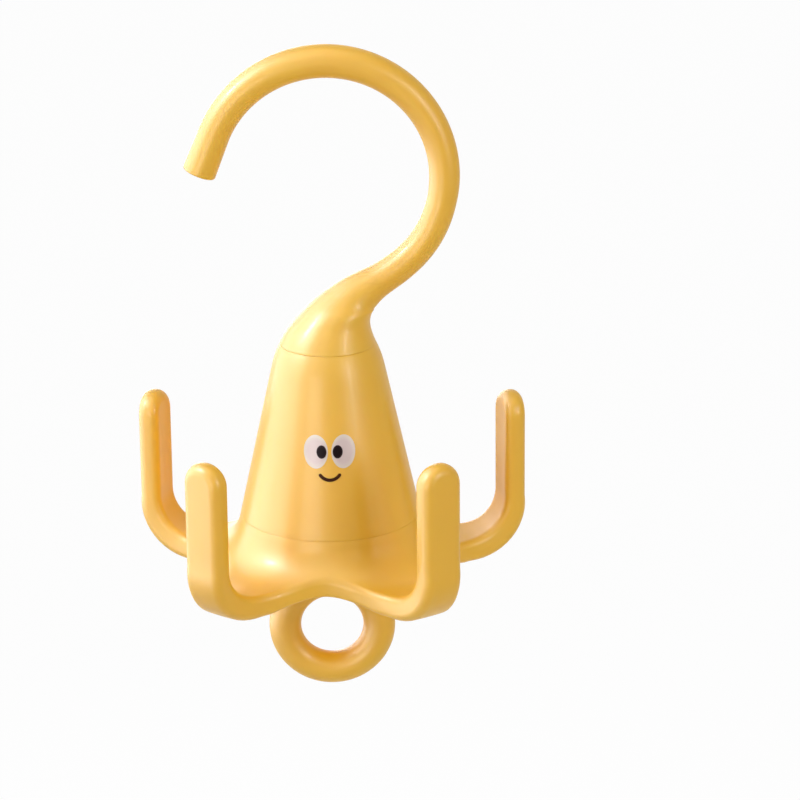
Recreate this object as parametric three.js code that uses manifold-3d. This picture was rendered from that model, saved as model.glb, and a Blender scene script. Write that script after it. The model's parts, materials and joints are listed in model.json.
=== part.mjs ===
// Rotating closet hook: a rod hook with a flared cap that swivels on a hollow cone,
// a skirt with five curled-up arms under the cone, and a ring at the bottom.
// Millimetres, +Z up. The origin is the rod seat, the inside of the hook's crown.
// The hook lies in the XZ plane and the face looks along -Y.

import * as THREE from 'three';
import { mergeVertices } from 'three/addons/utils/BufferGeometryUtils.js';
import Module from 'manifold-3d';

const wasm = await Module();
wasm.setup();

// Overall sizes
const seamDrop = 63;
const footDrop = 104.5;
const clearance = 0.3;
const runningFit = 0.1;
const overrun = 1;
const weldReach = 0.0001;

// Rod hook
const hookBendRadius = 27.25;
const rodTipRadius = 3.7;
const rodCrownRadius = 3.85;
const rodSideRadius = 3.55;
const rodLowerRadius = 3.48;
const tipLength = 9.5;
const tipRounding = 0.5;
const tipFlare = 0.2;
const tipAngle = THREE.MathUtils.degToRad(158);
const limbAngle = THREE.MathUtils.degToRad(-14);
const limbHandle = 21.5;
const neckHandle = 15.1;
const levelShares = [0.47, 0.83];
const capRadius = 11.1;
const neckShares = [[0.35, 0.03], [0.5, 0.07], [0.65, 0.27], [0.76, 0.54], [0.88, 0.73], [1, 1]];

// Swivel stack inside the cap and the cone's deck
const insertRadius = 3.2;
const insertBoreRadius = 2.2;
const insertLength = 6;
const bossWall = 1.7;
const bossRecess = 1.1;
const coreRadius = 7.8;
const coreDepth = 2.2;
const threadRadius = 1.9;
const threadRoom = 1.6;
const shoulderRadius = 3;
const washerRadius = 5.1;
const washerThickness = 0.85;
const bushWall = 1.1;
const bushFlangeRadius = 6.2;
const bushFlangeThickness = 1;
const lowerWasherThickness = 0.8;
const swivelHeadRadius = 5.2;
const swivelHeadHeight = 2.8;
const driveRadius = 1.6;
const driveDepth = 1.5;

// Cone
const seamGap = 0.3;
const shoulderDrop = 68.9;
const shoulderRadiusCone = 13.2;
const shoulderPull = 3.4;
const coneFootRadius = 21.05;
const flareDrop = 1.6;
const coneWall = 2.2;
const deckThickness = 3;
const postRadius = 3;
const postTopDrop = 84.5;
const postCount = 3;
const postTurn = THREE.MathUtils.degToRad(60);

// Skirt and arms
const armCount = 5;
const armTurn = THREE.MathUtils.degToRad(3);
const armWidth = 10.3;
const armThickness = 5.05;
const armReach = 47.15;
const armTopDrop = 79.65;
const armEdgeRadius = 2;
const tipEdgeRadius = 2.4;
const skirtEdgeRadius = 1.2;
const skirtThickness = 3.8;
const keelThickness = 5.4;
const elbowThickness = 6;
const channelRadius = 10.2;
const elbowRadius = 9;
const archReach = 25.5;
const archRun = 18.5;
const floorDrop = 106.9;
const floorThickness = 2.4;
const spigotHeight = 4;
const spigotWall = 1.6;
const hubRadius = 7.2;
const hubDrop = 117.5;

// Ring
const ringRadius = 11.2;
const ringNeck = 5;
const ringBarRadius = 3.8;
const stemHalf = 3.6;
const stemCorner = 0.9;
const stemEngagement = 6.4;
const collarRadius = 5.2;
const collarHeight = 1.7;

// Small screws and washer
const screwRadius = 1.4;
const screwHeadRadius = 2.7;
const screwHeadHeight = 1.9;
const screwLength = 10;
const smallWasherRadius = 3.6;
const smallWasherThickness = 0.8;
const smallDriveRadius = 1.1;
const smallDriveDepth = 1;

// Face, set into the front of the cone
const faceDrop = 84.1;
const eyeWidth = 5.6;
const eyeHeight = 7.6;
const eyeSpacing = 6.4;
const eyeThickness = 0.25;
const pupilWidth = 2.3;
const pupilHeight = 3;
const pupilSpacing = 3.7;
const pupilThickness = 0.15;
const smileDrop = 89.4;
const smileWidth = 4.4;
const smileSag = 1.1;
const smileStroke = 0.75;
const smileThickness = 0.2;
const printGap = 0.06;

// Facets
const rodSides = 20;
const crownSteps = 22;
const limbSteps = 16;
const roundSides = 36;
const coneSides = 54;
const smallSides = 16;
const stackSides = 30;
const hexSides = 6;
const shoulderSteps = 6;
const cornerSteps = 3;
const sectorColumns = 8;
const edgeSteps = 2;
const archSteps = 10;
const elbowSteps = 3;
const tipSteps = 4;
const flareSteps = 4;
const ringSteps = 28;
const ringSides = 14;
const ovalRows = 10;
const ovalColumns = 4;

// Places along the axis that follow from the sizes
const crownCentre = rodCrownRadius - hookBendRadius;
const seamZ = -seamDrop;
const coneTopZ = seamZ - seamGap;
const shoulderZ = -shoulderDrop;
const footZ = -footDrop;
const floorZ = -floorDrop;
const floorBottomZ = floorZ - floorThickness;
const hubZ = -hubDrop;
const armTopZ = -armTopDrop;
const ringZ = hubZ - ringNeck - ringRadius;
const bossBottomZ = seamZ + bossRecess;
const deckBottomZ = coneTopZ - deckThickness;
const coneSlope = (coneFootRadius - shoulderRadiusCone) / (footDrop - shoulderDrop);
const coneLean = Math.atan(coneSlope);
const spigotFoot = coneFootRadius - coneWall - clearance;
const postCircle = (hubRadius + spigotFoot - spigotWall) / 2;

// Solids and meshes

function solidOf(geometry) {
  const bare = geometry.clone();
  bare.deleteAttribute('normal');
  bare.deleteAttribute('uv');
  const merged = mergeVertices(bare, weldReach);
  const vertProperties = new Float32Array(merged.attributes.position.array);
  const corners = merged.index.array;
  const kept = [];
  for (let i = 0; i < corners.length; i += 3) {
    const [a, b, c] = corners.slice(i, i + 3);
    if (a !== b && b !== c && c !== a) kept.push(a, b, c);
  }
  const triVerts = new Uint32Array(kept);
  return new wasm.Manifold(new wasm.Mesh({ numProp: 3, vertProperties, triVerts }));
}

function geometryOf(solid) {
  const mesh = solid.getMesh();
  const geometry = new THREE.BufferGeometry();
  const corners = new Float32Array(mesh.numVert * 3);
  for (let i = 0; i < mesh.numVert; i++) {
    for (let axis = 0; axis < 3; axis++) {
      corners[3 * i + axis] = mesh.vertProperties[mesh.numProp * i + axis];
    }
  }
  geometry.setAttribute('position', new THREE.BufferAttribute(corners, 3));
  geometry.setIndex(new THREE.BufferAttribute(new Uint32Array(mesh.triVerts), 1));
  geometry.computeVertexNormals();
  return geometry;
}

// A closed profile of [radius, z] points turned about the Z axis.
function turned(profile, sides) {
  const points = profile.map(([radius, z]) => new THREE.Vector2(radius, z));
  const geometry = new THREE.LatheGeometry([...points, points[0].clone()], sides);
  geometry.rotateX(Math.PI / 2);
  return solidOf(geometry);
}

// A plain cylinder between two heights on an axis parallel to Z.
function cylinder(radius, bottom, top, sides, x = 0, y = 0) {
  const geometry = new THREE.CylinderGeometry(radius, radius, top - bottom, sides);
  geometry.rotateX(Math.PI / 2);
  geometry.translate(x, y, (top + bottom) / 2);
  return solidOf(geometry);
}

// Closed rings of points, joined in order and closed at both ends.
function skinned(rings) {
  const count = rings[0].length;
  const points = rings.flat();
  const faces = [];
  for (let i = 0; i + 1 < rings.length; i++) {
    for (let j = 0; j < count; j++) {
      const a = i * count + j;
      const b = i * count + (j + 1) % count;
      faces.push(a, a + count, b, b, a + count, b + count);
    }
  }
  const ends = [[rings[0], 0, false], [rings.at(-1), (rings.length - 1) * count, true]];
  for (const [ring, start, flip] of ends) {
    const middle = ring.reduce((sum, p) => sum.add(p), new THREE.Vector3()).divideScalar(count);
    points.push(middle);
    for (let j = 0; j < count; j++) {
      const a = start + j;
      const b = start + (j + 1) % count;
      faces.push(points.length - 1, flip ? b : a, flip ? a : b);
    }
  }
  return bodyOf(points, faces);
}

function bodyOf(points, faces) {
  const geometry = new THREE.BufferGeometry().setFromPoints(points);
  geometry.setIndex(faces);
  return solidOf(geometry);
}

// Rod hook and cap

// The bar's centre line, its direction and its radius at each station, from tip to cap.
function hookStations() {
  const crown = new THREE.Vector2(0, crownCentre);
  const along = (angle) => new THREE.Vector2(Math.cos(angle), Math.sin(angle));
  const ahead = (angle) => new THREE.Vector2(Math.sin(angle), -Math.cos(angle));
  const onCrown = (angle) => along(angle).multiplyScalar(hookBendRadius).add(crown);
  const smooth = THREE.MathUtils.smoothstep;
  const stations = [];

  const tipEnd = onCrown(tipAngle).addScaledVector(ahead(tipAngle), -tipLength);
  for (const turn of [0, Math.PI / 6, Math.PI / 3, Math.PI / 2]) {
    stations.push({
      place: tipEnd.clone().addScaledVector(ahead(tipAngle), tipRounding * (1 - Math.cos(turn))),
      ahead: ahead(tipAngle),
      radius: rodTipRadius + tipFlare - tipRounding * (1 - Math.sin(turn)),
    });
  }

  for (let i = 0; i <= crownSteps; i++) {
    const angle = THREE.MathUtils.lerp(tipAngle, limbAngle, i / crownSteps);
    const rise = smooth(tipAngle - angle, 0, tipAngle - Math.PI / 2);
    const side = smooth(Math.PI / 2 - angle, 0, Math.PI / 2);
    const lower = smooth(-angle, 0, -limbAngle);
    const radius = rodTipRadius + (rodCrownRadius - rodTipRadius) * rise
      + (rodSideRadius - rodCrownRadius) * side + (rodLowerRadius - rodSideRadius) * lower;
    stations.push({ place: onCrown(angle), ahead: ahead(angle), radius });
  }

  const start = onCrown(limbAngle);
  const seam = new THREE.Vector2(0, seamZ);
  const limb = new THREE.CubicBezierCurve(
    start,
    start.clone().addScaledVector(ahead(limbAngle), limbHandle),
    new THREE.Vector2(0, seamZ + neckHandle),
    seam,
  );
  for (let i = 1; i <= limbSteps; i++) {
    const share = i / limbSteps;
    const radius = rodLowerRadius + (capRadius - rodLowerRadius) * shareAt(neckShares, share);
    const tangent = limb.getTangent(share);
    const lean = Math.atan2(tangent.x, -tangent.y) * (1 - smooth(share, ...levelShares));
    const level = new THREE.Vector2(Math.sin(lean), -Math.cos(lean));
    stations.push({ place: limb.getPoint(share), ahead: level, radius });
  }
  return stations;
}

// Smooth reading of a table of [place, value] pairs that starts at 0, 0.
function shareAt(table, place) {
  const marks = [[0, 0], ...table];
  const i = Math.max(1, marks.findIndex(([at]) => at >= place));
  const slope = (k) => {
    const low = marks[Math.max(0, k - 1)];
    const high = marks[Math.min(marks.length - 1, k + 1)];
    return (high[1] - low[1]) / (high[0] - low[0]);
  };
  const [x0, y0] = marks[i - 1];
  const [x1, y1] = marks[i];
  const run = x1 - x0;
  const t = (place - x0) / run;
  const bend0 = slope(i - 1) * run;
  const bend1 = slope(i) * run;
  return y0 + bend0 * t + (3 * (y1 - y0) - 2 * bend0 - bend1) * t ** 2
    + (bend0 + bend1 - 2 * (y1 - y0)) * t ** 3;
}

function upperHook() {
  const rings = hookStations().map(({ place, ahead, radius }) => {
    const ring = [];
    for (let j = 0; j < rodSides; j++) {
      const turn = (2 * Math.PI * j) / rodSides;
      const out = radius * Math.cos(turn);
      ring.push(new THREE.Vector3(
        place.x - ahead.y * out,
        radius * Math.sin(turn),
        place.y + ahead.x * out,
      ));
    }
    return ring;
  });
  const core = cylinder(coreRadius, seamZ - overrun, seamZ + coreDepth, roundSides)
    .subtract(cylinder(bossRadius(), bossBottomZ, seamZ + coreDepth + overrun, roundSides));
  const socketTop = bossBottomZ + insertLength + clearance;
  const socket = cylinder(insertRadius + clearance, seamZ - overrun, socketTop, smallSides);
  const tail = cylinder(insertBoreRadius, socketTop - overrun, socketTop + threadRoom, smallSides);
  return skinned(rings).subtract(core).subtract(socket).subtract(tail);
}

function bossRadius() {
  return insertRadius + clearance + bossWall;
}

// Swivel stack

function swivelStack() {
  const insertTop = bossBottomZ + insertLength;
  const washerTop = bossBottomZ - clearance;
  const bore = shoulderRadius + runningFit;
  const flangeTop = deckBottomZ - clearance;
  const flangeBottom = flangeTop - bushFlangeThickness;
  const sleeve = bore + bushWall;
  const lowerTop = flangeBottom - clearance;
  const headTop = lowerTop - lowerWasherThickness - clearance;
  const headBottom = headTop - swivelHeadHeight;
  const shoulderTop = bossBottomZ - clearance;
  const ring = (inner, outer, bottom, top) => turned(
    [[inner, bottom], [outer, bottom], [outer, top], [inner, top]], stackSides);

  const screw = turned([
    [0, headBottom],
    [swivelHeadRadius - clearance, headBottom],
    [swivelHeadRadius, headBottom + clearance],
    [swivelHeadRadius, headTop],
    [shoulderRadius, headTop],
    [shoulderRadius, shoulderTop],
    [threadRadius, shoulderTop],
    [threadRadius, insertTop],
    [0, insertTop],
  ], stackSides).subtract(hexSocket(driveRadius, headBottom, driveDepth));

  return {
    threaded_insert: ring(insertBoreRadius, insertRadius, bossBottomZ, insertTop),
    thrust_washer: ring(bore, washerRadius, washerTop - washerThickness, washerTop),
    flange_bush: turned([
      [bore, flangeBottom],
      [bushFlangeRadius, flangeBottom],
      [bushFlangeRadius, flangeTop],
      [sleeve, flangeTop],
      [sleeve, coneTopZ],
      [bore, coneTopZ],
    ], stackSides),
    lower_washer: ring(bore, bushFlangeRadius, lowerTop - lowerWasherThickness, lowerTop),
    swivel_screw: screw,
  };
}

// A six-sided drive socket that opens downward at a given height.
function hexSocket(radius, bottom, depth) {
  return cylinder(radius, bottom - overrun, bottom + depth, hexSides);
}

// Cone shell

// The cone's outer line from the foot up to the seam, as [radius, z] points.
function coneLine() {
  const shoulder = new THREE.QuadraticBezierCurve(
    new THREE.Vector2(shoulderRadiusCone, shoulderZ),
    new THREE.Vector2(shoulderRadiusCone - shoulderPull * coneSlope, shoulderZ + shoulderPull),
    new THREE.Vector2(capRadius, coneTopZ),
  );
  const curve = shoulder.getPoints(shoulderSteps).map((p) => [p.x, p.y]);
  return [[coneFootRadius, footZ + clearance], ...curve];
}

// The cone's outer radius at a height on its straight side.
function coneRadius(z) {
  return shoulderRadiusCone + (shoulderZ - z) * coneSlope;
}

function coneShell() {
  const deckHole = shoulderRadius + runningFit + bushWall + clearance;
  const outer = coneLine();
  const innerTop = deckBottomZ;
  const innerFoot = coneFootRadius - coneWall;
  const innerShoulder = shoulderRadiusCone - coneWall;
  const shell = turned([
    ...outer,
    [deckHole, coneTopZ],
    [deckHole, innerTop],
    [capRadius - coneWall, innerTop],
    [innerShoulder, shoulderZ - coneWall],
    [innerFoot, footZ + clearance],
  ], coneSides);
  const postBottom = floorZ + clearance;
  let body = shell;
  for (const [x, y] of postPlaces()) {
    const post = cylinder(postRadius, postBottom, -postTopDrop, smallSides, x, y);
    const pilot = cylinder(screwRadius + clearance, postBottom - overrun, postBottom + screwLength, smallSides, x, y);
    body = body.add(post.add(postRib(x, y))).subtract(pilot);
  }
  return body;
}

// A web that ties a screw post to the wall behind it.
function postRib(x, y) {
  const top = -postTopDrop;
  const bottom = footZ + spigotHeight + clearance;
  const reach = coneRadius(bottom) - coneWall / 2;
  const shape = new THREE.Shape([
    new THREE.Vector2(postCircle, bottom),
    new THREE.Vector2(reach, bottom),
    new THREE.Vector2(coneRadius(top) - coneWall / 2, top),
    new THREE.Vector2(postCircle, top),
  ]);
  const thickness = postRadius / 2;
  const geometry = new THREE.ExtrudeGeometry(shape, { depth: thickness, bevelEnabled: false });
  geometry.translate(0, 0, -thickness / 2);
  geometry.rotateX(Math.PI / 2);
  geometry.rotateZ(Math.atan2(y, x));
  return solidOf(geometry);
}

function postPlaces() {
  return Array.from({ length: postCount }, (_, i) => {
    const turn = postTurn + (2 * Math.PI * i) / postCount;
    return [postCircle * Math.sin(turn), -postCircle * Math.cos(turn)];
  });
}

// Skirt and arms

// The channel between the cone and an arm, in section: an arc that leaves the cone's side on a
// tangent just below the seam, a short flat, and a tighter arc into the arm's straight inner face.
function channel() {
  const radius = channelRadius;
  const start = coneFootRadius + flareDrop * coneSlope;
  const middle = start + radius * Math.cos(coneLean);
  const base = footZ - flareDrop + radius * Math.sin(coneLean);
  const bend = armReach - armThickness - elbowRadius;
  const flatRun = radius * Math.PI / 2;
  const bendRun = flatRun + bend - middle;
  const armRun = bendRun + elbowRadius * Math.PI / 2;
  return { radius, base, middle, bend, flatRun, bendRun, armRun, armFootZ: base - radius + elbowRadius };
}

// The underside of the skirt at a distance from the axis, inside the channel's lowest line.
function undersideZ(r) {
  const { radius, base, middle } = channel();
  const span = Math.max(0, (r - coneFootRadius) / (middle - coneFootRadius));
  const thickness = skirtThickness + (keelThickness - skirtThickness) * span ** 2;
  return base - Math.sqrt((radius + thickness) ** 2 - (middle - r) ** 2);
}

// The sheet's section at a run along its upper surface: a point there, the way to the underside
// and the thickness that way. The skirt is cut straight down, the arm square to its length.
function sheetAt(run) {
  const { radius, base, middle, bend, flatRun, bendRun, armRun, armFootZ } = channel();
  if (run <= flatRun) {
    const r = middle - radius * Math.cos(run / radius);
    const z = base - radius * Math.sin(run / radius);
    return { r, z, dr: 0, dz: -1, thickness: z - undersideZ(r) };
  }
  if (run <= bendRun) {
    return { r: middle + run - flatRun, z: base - radius, dr: 0, dz: -1, thickness: keelThickness };
  }
  if (run >= armRun) {
    return { r: bend + elbowRadius, z: armFootZ + run - armRun, dr: 1, dz: 0, thickness: armThickness };
  }
  const turn = (run - bendRun) / elbowRadius;
  const share = 2 * turn / Math.PI;
  const straight = THREE.MathUtils.lerp(keelThickness, armThickness, share);
  const waist = elbowThickness - (keelThickness + armThickness) / 2;
  const dr = Math.sin(turn);
  const dz = -Math.cos(turn);
  return {
    r: bend + elbowRadius * dr,
    z: armFootZ + elbowRadius * dz,
    dr,
    dz,
    thickness: straight + waist * Math.sin(Math.PI * share),
  };
}

// The outline of half an arm as runs along the sheet and half widths across it, from the top of
// the arch to the arm's tip, each with the way inward and the radius of the rounded edge.
function armOutline() {
  const { radius, middle, armRun, armFootZ } = channel();
  const half = armWidth / 2;
  const archStart = radius * Math.acos((middle - archReach) / radius);
  const archHalf = archReach * Math.PI / armCount;
  const archEnd = archStart + archRun;
  const tipStart = armRun + armTopZ - armFootZ - half;
  const outline = [];
  for (let i = 0; i <= archSteps; i++) {
    const turn = (Math.PI / 2) * (1 - i / archSteps);
    const inward = new THREE.Vector2((archHalf - half) * Math.sin(turn), archRun * Math.cos(turn));
    outline.push({
      run: archStart + archRun * (1 - Math.sin(turn)),
      across: archHalf - (archHalf - half) * Math.cos(turn),
      inward: inward.normalize().negate(),
      edge: THREE.MathUtils.lerp(skirtEdgeRadius, armEdgeRadius, i / archSteps),
    });
  }
  for (let i = 1; i <= elbowSteps; i++) {
    const run = THREE.MathUtils.lerp(archEnd, armRun, i / elbowSteps);
    outline.push({ run, across: half, inward: new THREE.Vector2(0, -1), edge: armEdgeRadius });
  }
  for (let i = 0; i <= tipSteps; i++) {
    const turn = (Math.PI / 2) * (i / tipSteps);
    outline.push({
      run: tipStart + half * Math.sin(turn),
      across: half * Math.cos(turn),
      inward: new THREE.Vector2(-Math.sin(turn), -Math.cos(turn)),
      edge: THREE.MathUtils.lerp(armEdgeRadius, tipEdgeRadius, i / tipSteps),
    });
  }
  return outline;
}

// One row of points across the sheet for a place on the outline. The rounded edges come first and
// last, and the columns between them share out the flat of the sheet.
function sheetRow({ run, across, inward, edge }, atArch, under) {
  const half = Math.PI / armCount;
  const place = (runHere, acrossHere, depth, share) => {
    const { r, z, dr, dz, thickness } = sheetAt(runHere);
    const down = under ? thickness - depth : depth;
    const radius = r + dr * down;
    const angle = atArch ? half * share : acrossHere / radius;
    return { radius, z: z + dz * down, angle };
  };
  const edgePoints = [];
  for (let i = 0; i <= edgeSteps; i++) {
    const turn = (Math.PI / 2) * (i / edgeSteps);
    const inset = edge * (1 - Math.cos(turn));
    const depth = edge * (1 - Math.sin(turn));
    edgePoints.push([run + inward.x * inset, across + inward.y * inset, depth]);
  }
  const [innerRun, innerAcross] = edgePoints.at(-1);
  const row = edgePoints.slice(0, -1).map(([s, v, d]) => place(s, -v, d, -1));
  for (let k = 0; k <= sectorColumns; k++) {
    const share = 2 * k / sectorColumns - 1;
    row.push(place(innerRun, innerAcross * share, 0, share));
  }
  row.push(...edgePoints.slice(0, -1).reverse().map(([s, v, d]) => place(s, v, d, 1)));
  return row;
}

// The rows inside the arch, where the skirt is a full turn, as [radius, z] from the axis outward.
function innerProfiles() {
  const { radius, base, middle } = channel();
  const spigotTop = footZ + spigotHeight;
  const taper = spigotHeight * coneSlope;
  const archStart = Math.acos((middle - archReach) / radius) - skirtEdgeRadius / radius;
  const upper = [
    [0, floorZ],
    [spigotFoot - spigotWall, floorZ],
    [spigotFoot - spigotWall, footZ],
    [spigotFoot - spigotWall - taper, spigotTop],
    [spigotFoot - taper, spigotTop],
    [spigotFoot, footZ],
    [coneFootRadius, footZ],
  ];
  for (let i = 0; i < flareSteps; i++) {
    const turn = THREE.MathUtils.lerp(coneLean, archStart, i / flareSteps);
    upper.push([middle - radius * Math.cos(turn), base - radius * Math.sin(turn)]);
  }
  const reach = radius + skirtThickness;
  const wall = middle - Math.sqrt(reach ** 2 - (base - floorBottomZ) ** 2);
  const edgeR = middle - radius * Math.cos(archStart);
  const lower = [[0, hubZ], [hubRadius, hubZ], [hubRadius, floorBottomZ]];
  for (let i = 0; i < flareSteps; i++) {
    const r = THREE.MathUtils.lerp(wall, edgeR, i / flareSteps);
    lower.push([r, undersideZ(r)]);
  }
  return { upper, lower };
}

function armSheet() {
  const points = [];
  const faces = [];
  const { upper, lower } = innerProfiles();
  const outline = armOutline();
  const sector = 2 * Math.PI / armCount;
  const spread = (share) => (sector / 2) * share;

  for (let arm = 0; arm < armCount; arm++) {
    const axis = -Math.PI / 2 - armTurn + sector * (arm + 1 / 2);
    const addPoint = ({ radius, z, angle }) => {
      points.push(new THREE.Vector3(
        radius * Math.cos(axis + angle),
        radius * Math.sin(axis + angle),
        z,
      ));
      return points.length - 1;
    };
    const addInner = (profile) => profile.map(([radius, z]) => {
      const row = [];
      for (let k = 0; k <= sectorColumns; k++) {
        row.push(addPoint({ radius, z, angle: spread(2 * k / sectorColumns - 1) }));
      }
      return row;
    });
    const addOuter = (under) => outline.map((stop, i) => sheetRow(stop, i === 0, under).map(addPoint));
    const addQuads = (low, high, flip) => {
      for (let j = 0; j + 1 < low.length; j++) {
        const quad = [low[j], high[j], high[j + 1], low[j + 1]];
        const [a, b, c, d] = flip ? quad.reverse() : quad;
        faces.push(a, b, c, a, c, d);
      }
    };

    const edges = {};
    for (const [side, profile] of [['upper', upper], ['lower', lower]]) {
      const flip = side === 'lower';
      const inner = addInner(profile);
      const outer = addOuter(flip);
      const bridge = outer[0].slice(edgeSteps, edgeSteps + sectorColumns + 1);
      for (const [low, high] of pairs([...inner, bridge])) addQuads(low, high, flip);
      for (const [low, high] of pairs(outer)) addQuads(low, high, flip);
      edges[side] = { left: outer.map((row) => row[0]), right: outer.map((row) => row.at(-1)) };
    }
    addQuads(edges.upper.left, edges.lower.left, false);
    addQuads(edges.upper.right, edges.lower.right, true);
  }
  return bodyOf(points, faces);
}

function pairs(list) {
  return list.slice(1).map((item, i) => [list[i], item]);
}

function armBase() {
  const socket = squareBar(stemHalf + clearance, hubZ - overrun, hubZ + stemEngagement + clearance);
  const screwHole = screwRadius + clearance;
  let base = armSheet()
    .subtract(socket)
    .subtract(cylinder(screwHole, hubZ, floorZ + overrun, smallSides));
  for (const [x, y] of postPlaces()) {
    base = base.subtract(cylinder(screwHole, floorBottomZ - overrun, floorZ + overrun, smallSides, x, y));
  }
  return base;
}

// An upright bar of square section with rounded corners.
function squareBar(half, bottom, top) {
  const flat = half - stemCorner;
  const shape = new THREE.Shape();
  for (let i = 0; i < 4; i++) {
    const start = i * Math.PI / 2;
    const x = flat * Math.SQRT2 * Math.cos(start + Math.PI / 4);
    const y = flat * Math.SQRT2 * Math.sin(start + Math.PI / 4);
    shape.absarc(x, y, stemCorner, start, start + Math.PI / 2, false);
  }
  const geometry = new THREE.ExtrudeGeometry(shape, {
    depth: top - bottom, bevelEnabled: false, curveSegments: cornerSteps,
  });
  geometry.translate(0, 0, bottom);
  return solidOf(geometry);
}

// Ring

function bottomRing() {
  const geometry = new THREE.TorusGeometry(ringRadius, ringBarRadius, ringSides, ringSteps);
  geometry.rotateX(Math.PI / 2);
  geometry.translate(0, 0, ringZ);
  const collarTop = hubZ - clearance;
  const collarBottom = collarTop - collarHeight;
  const root = ringZ + ringRadius;
  const collar = turned([
    [0, root],
    [stemHalf - stemCorner, root],
    [collarRadius, collarBottom],
    [collarRadius, collarTop],
    [0, collarTop],
  ], stackSides);
  const stemTop = hubZ + stemEngagement;
  const stem = squareBar(stemHalf, collarBottom, stemTop);
  const screwEnd = floorZ + clearance + smallWasherThickness + clearance - screwLength;
  const pilot = cylinder(screwRadius + clearance, screwEnd - clearance, stemTop + overrun, smallSides);
  return solidOf(geometry).add(collar).add(stem).subtract(pilot);
}

// Small screws

// A pan-head screw whose head sits at z and whose shank runs up or down from it.
function smallScrew(headFace, way, x = 0, y = 0) {
  const chamfer = screwHeadHeight / 3;
  const crown = headFace - way * screwHeadHeight;
  const end = headFace + way * screwLength;
  const profile = [
    [0, crown],
    [screwHeadRadius - chamfer, crown],
    [screwHeadRadius, crown + way * chamfer],
    [screwHeadRadius, headFace],
    [screwRadius, headFace],
    [screwRadius, end - way * screwRadius],
    [screwRadius / 3, end],
    [0, end],
  ];
  const body = turned(way > 0 ? profile : profile.reverse(), smallSides);
  const low = way > 0 ? crown - overrun : crown - smallDriveDepth;
  const high = way > 0 ? crown + smallDriveDepth : crown + overrun;
  return body.subtract(cylinder(smallDriveRadius, low, high, hexSides)).translate([x, y, 0]);
}

function screws() {
  const nodes = {};
  postPlaces().forEach(([x, y], i) => {
    nodes[`base_screw_${i + 1}`] = smallScrew(floorBottomZ - clearance, 1, x, y);
  });
  const washerBottom = floorZ + clearance;
  const washerTop = washerBottom + smallWasherThickness;
  nodes.ring_washer = turned([
    [screwRadius + clearance, washerBottom],
    [smallWasherRadius, washerBottom],
    [smallWasherRadius, washerTop],
    [screwRadius + clearance, washerTop],
  ], smallSides);
  nodes.ring_screw = smallScrew(washerTop + clearance, -1);
  return nodes;
}

// Face

// A point on the cone's front at a distance round it from the middle, a height and a lift.
function onFace(across, z, lift) {
  const surface = coneRadius(z) / Math.cos(Math.PI / coneSides);
  const radius = surface + lift / Math.cos(coneLean);
  const angle = across / coneRadius(z) - Math.PI / 2;
  return new THREE.Vector3(radius * Math.cos(angle), radius * Math.sin(angle), z);
}

// An upright oval that lies on the cone.
function oval(middle, centreZ, width, height, lift, thickness) {
  const rings = [];
  for (let i = 1; i < ovalRows; i++) {
    const turn = Math.PI * i / ovalRows;
    const z = centreZ - (height / 2) * Math.cos(turn);
    const half = (width / 2) * Math.sin(turn);
    const back = [];
    const front = [];
    for (let k = 0; k <= ovalColumns; k++) {
      const across = middle + half * (2 * k / ovalColumns - 1);
      back.push(onFace(across, z, lift));
      front.unshift(onFace(across, z, lift + thickness));
    }
    rings.push([...back, ...front]);
  }
  return skinned(rings);
}

// A curved stroke that dips in the middle.
function smileStrokeSolid() {
  const half = smileWidth / 2;
  const arcRadius = (half ** 2 + smileSag ** 2) / (2 * smileSag);
  const reach = Math.asin(half / arcRadius);
  const rings = [];
  for (let i = 0; i <= ovalRows; i++) {
    const turn = reach * (2 * i / ovalRows - 1);
    const corner = (away, lift) => onFace(
      (arcRadius + away) * Math.sin(turn),
      -smileDrop + arcRadius - smileSag - (arcRadius + away) * Math.cos(turn),
      lift,
    );
    const edge = smileStroke / 2;
    const outer = printGap + smileThickness;
    rings.push([corner(-edge, printGap), corner(edge, printGap), corner(edge, outer), corner(-edge, outer)]);
  }
  return skinned(rings);
}

function face() {
  const nodes = {};
  const pupilLift = printGap + eyeThickness + printGap;
  for (const [side, sign] of [['left', -1], ['right', 1]]) {
    nodes[`eye_white_${side}`] = oval(
      sign * eyeSpacing / 2, -faceDrop, eyeWidth, eyeHeight, printGap, eyeThickness);
    nodes[`pupil_${side}`] = oval(
      sign * pupilSpacing / 2, -faceDrop, pupilWidth, pupilHeight, pupilLift, pupilThickness);
  }
  nodes.smile = smileStrokeSolid();
  return nodes;
}

// Assembly

const finishes = {
  shell: { color: 0xe9bd5b, roughness: 0.3, metalness: 0 },
  brass: { color: 0xb5924a, roughness: 0.35, metalness: 1 },
  steel: { color: 0xb8bcc0, roughness: 0.3, metalness: 1 },
  nylon: { color: 0xeeeae0, roughness: 0.5, metalness: 0 },
  eye: { color: 0xece2e4, roughness: 0.35, metalness: 0 },
  pupil: { color: 0x1c1012, roughness: 0.3, metalness: 0 },
  smile: { color: 0x6e3209, roughness: 0.4, metalness: 0 },
};

const slots = {
  upper_hook: 'shell', cone_shell: 'shell', arm_base: 'shell', bottom_ring: 'shell',
  threaded_insert: 'brass', swivel_screw: 'steel', lower_washer: 'steel',
  thrust_washer: 'nylon', flange_bush: 'nylon', ring_screw: 'steel', ring_washer: 'steel',
  eye_white_left: 'eye', eye_white_right: 'eye', pupil_left: 'pupil', pupil_right: 'pupil',
  smile: 'smile',
};

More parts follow.
